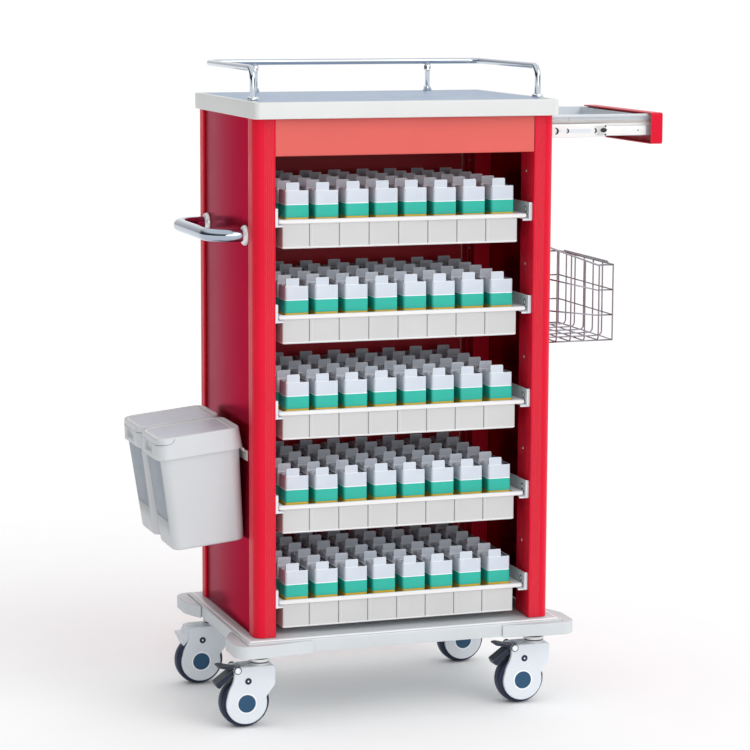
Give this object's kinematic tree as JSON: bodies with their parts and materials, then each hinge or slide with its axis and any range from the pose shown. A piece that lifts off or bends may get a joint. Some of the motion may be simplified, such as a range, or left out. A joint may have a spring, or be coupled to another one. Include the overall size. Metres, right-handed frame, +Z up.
{
  "type": "medication cart",
  "caption": "Tall steel cabinet on swivel casters with open pull-out trays of medicine boxes, a pull-out side shelf, a wire basket, lidded bins, a push handle and a guard rail.",
  "frame": {"origin": "on the floor, under the middle of the whole plan outline with the side shelf pulled out", "axes": "+X to the cart's right, towards the pull-out shelf and the wire basket; the open front with the trays faces -Y; +Z up"},
  "size_m": [1.0448, 0.486, 1.2923],
  "materials": {
    "red_powder_coat": "gloss powder coat",
    "white_abs": "satin",
    "blue_grey_mat": "gloss",
    "grey_abs": "satin",
    "tray_plastic": "satin",
    "box_plastic": "satin",
    "zinc_white": "satin",
    "steel_sheet": "satin",
    "slide_steel": "bright zinc",
    "chrome": "polished",
    "bin_plastic": "satin",
    "caster_plastic": "satin",
    "tyre": "matt",
    "pedal_plastic": "satin"
  },
  "bodies": {
    "cart": {"column_front_left": "red_powder_coat", "column_front_right": "red_powder_coat", "column_rear_left": "red_powder_coat", "column_rear_right": "red_powder_coat", "left_side_panel": "red_powder_coat", "right_side_panel": "red_powder_coat", "back_panel": "red_powder_coat", "front_fascia": "red_powder_coat", "cabinet_ceiling": "red_powder_coat", "worktop": "white_abs", "worktop_mat": "blue_grey_mat", "guard_rail": "chrome", "guard_rail_post_left": "chrome", "guard_rail_post_right": "chrome", "push_handle": "chrome", "handle_flange_front": "chrome", "handle_flange_rear": "chrome", "wire_basket": "chrome", "base_plate": "grey_abs", "corner_bumper_front_left": "grey_abs", "corner_bumper_front_right": "grey_abs", "corner_bumper_rear_left": "grey_abs", "corner_bumper_rear_right": "grey_abs", "tray_carrier_1": "zinc_white", "tray_carrier_2": "zinc_white", "tray_carrier_3": "zinc_white", "tray_carrier_4": "zinc_white", "tray_carrier_5": "zinc_white", "shelf_slide_outer_front": "slide_steel", "shelf_slide_outer_rear": "slide_steel", "bin_hanger_rail": "slide_steel"},
    "tray_1": {"drawer_tray_1": "tray_plastic", "medicine_boxes_1": "box_plastic"},
    "tray_2": {"drawer_tray_2": "tray_plastic", "medicine_boxes_2": "box_plastic"},
    "tray_3": {"drawer_tray_3": "tray_plastic", "medicine_boxes_3": "box_plastic"},
    "tray_4": {"drawer_tray_4": "tray_plastic", "medicine_boxes_4": "box_plastic"},
    "tray_5": {"drawer_tray_5": "tray_plastic", "medicine_boxes_5": "box_plastic"},
    "shelf": {"shelf_pan": "steel_sheet", "shelf_fascia": "red_powder_coat"},
    "shelf_middle": {"shelf_slide_middle_front": "slide_steel", "shelf_slide_middle_rear": "slide_steel"},
    "bin_front": {"bin_body_front": "bin_plastic"},
    "lid_front": {"bin_lid_front": "bin_plastic"},
    "bin_rear": {"bin_body_rear": "bin_plastic"},
    "lid_rear": {"bin_lid_rear": "bin_plastic"},
    "swivel_front_left": {"caster_fork_front_left": "caster_plastic"},
    "wheel_front_left": {"caster_wheel_front_left": "tyre"},
    "swivel_front_right": {"caster_fork_front_right": "caster_plastic"},
    "wheel_front_right": {"caster_wheel_front_right": "tyre"},
    "swivel_rear_left": {"caster_fork_rear_left": "caster_plastic"},
    "wheel_rear_left": {"caster_wheel_rear_left": "tyre"},
    "swivel_rear_right": {"caster_fork_rear_right": "caster_plastic"},
    "wheel_rear_right": {"caster_wheel_rear_right": "tyre"},
    "pedal_front_left": {"brake_pedal_front_left": "pedal_plastic"},
    "pedal_front_right": {"brake_pedal_front_right": "pedal_plastic"}
  },
  "joints": [
    {"name": "tray_1_slide", "type": "slide", "parent": "cart", "child": "tray_1", "axis": [0, -1, 0], "range_m": [0, 0.3]},
    {"name": "tray_2_slide", "type": "slide", "parent": "cart", "child": "tray_2", "axis": [0, -1, 0], "range_m": [0, 0.3]},
    {"name": "tray_3_slide", "type": "slide", "parent": "cart", "child": "tray_3", "axis": [0, -1, 0], "range_m": [0, 0.3]},
    {"name": "tray_4_slide", "type": "slide", "parent": "cart", "child": "tray_4", "axis": [0, -1, 0], "range_m": [0, 0.3]},
    {"name": "tray_5_slide", "type": "slide", "parent": "cart", "child": "tray_5", "axis": [0, -1, 0], "range_m": [0, 0.3]},
    {"name": "shelf_slide", "type": "slide", "parent": "cart", "child": "shelf", "axis": [1, 0, 0], "range_m": [-0.22, 0]},
    {"name": "shelf_middle_slide", "type": "slide", "parent": "cart", "child": "shelf_middle", "axis": [1, 0, 0], "range_m": [-0.11, 0]},
    {"name": "bin_front_lift", "type": "slide", "parent": "cart", "child": "bin_front", "axis": [-0.1045, 0, 0.9945], "range_m": [0, 0.06]},
    {"name": "lid_front_hinge", "type": "hinge", "parent": "bin_front", "child": "lid_front", "pos_m": [-0.36619, -0.0755, 0.59049], "axis": [0, 1, 0], "range_deg": [0, 100]},
    {"name": "bin_rear_lift", "type": "slide", "parent": "cart", "child": "bin_rear", "axis": [-0.1045, 0, 0.9945], "range_m": [0, 0.06]},
    {"name": "lid_rear_hinge", "type": "hinge", "parent": "bin_rear", "child": "lid_rear", "pos_m": [-0.36619, 0.0755, 0.59049], "axis": [0, 1, 0], "range_deg": [0, 100]},
    {"name": "swivel_front_left_turn", "type": "hinge", "parent": "cart", "child": "swivel_front_left", "pos_m": [-0.32561, -0.171, 0.139], "axis": [0, 0, 1], "continuous": true},
    {"name": "wheel_front_left_roll", "type": "hinge", "parent": "swivel_front_left", "child": "wheel_front_left", "pos_m": [-0.35761, -0.171, 0.05], "axis": [0, 1, 0], "continuous": true},
    {"name": "swivel_front_right_turn", "type": "hinge", "parent": "cart", "child": "swivel_front_right", "pos_m": [0.25639, -0.171, 0.139], "axis": [0, 0, 1], "continuous": true},
    {"name": "wheel_front_right_roll", "type": "hinge", "parent": "swivel_front_right", "child": "wheel_front_right", "pos_m": [0.22439, -0.171, 0.05], "axis": [0, 1, 0], "continuous": true},
    {"name": "swivel_rear_left_turn", "type": "hinge", "parent": "cart", "child": "swivel_rear_left", "pos_m": [-0.32561, 0.171, 0.139], "axis": [0, 0, 1], "continuous": true},
    {"name": "wheel_rear_left_roll", "type": "hinge", "parent": "swivel_rear_left", "child": "wheel_rear_left", "pos_m": [-0.35761, 0.171, 0.05], "axis": [0, 1, 0], "continuous": true},
    {"name": "swivel_rear_right_turn", "type": "hinge", "parent": "cart", "child": "swivel_rear_right", "pos_m": [0.25639, 0.171, 0.139], "axis": [0, 0, 1], "continuous": true},
    {"name": "wheel_rear_right_roll", "type": "hinge", "parent": "swivel_rear_right", "child": "wheel_rear_right", "pos_m": [0.22439, 0.171, 0.05], "axis": [0, 1, 0], "continuous": true},
    {"name": "pedal_front_left_tilt", "type": "hinge", "parent": "swivel_front_left", "child": "pedal_front_left", "pos_m": [-0.37561, -0.171, 0.116], "axis": [0, -1, 0], "range_deg": [0, 10]},
    {"name": "pedal_front_right_tilt", "type": "hinge", "parent": "swivel_front_right", "child": "pedal_front_right", "pos_m": [0.20639, -0.171, 0.116], "axis": [0, -1, 0], "range_deg": [0, 10]}
  ],
  "couplings": [
    {"joint": "shelf_middle_slide", "follows": "shelf_slide", "ratio": 0.5}
  ]
}
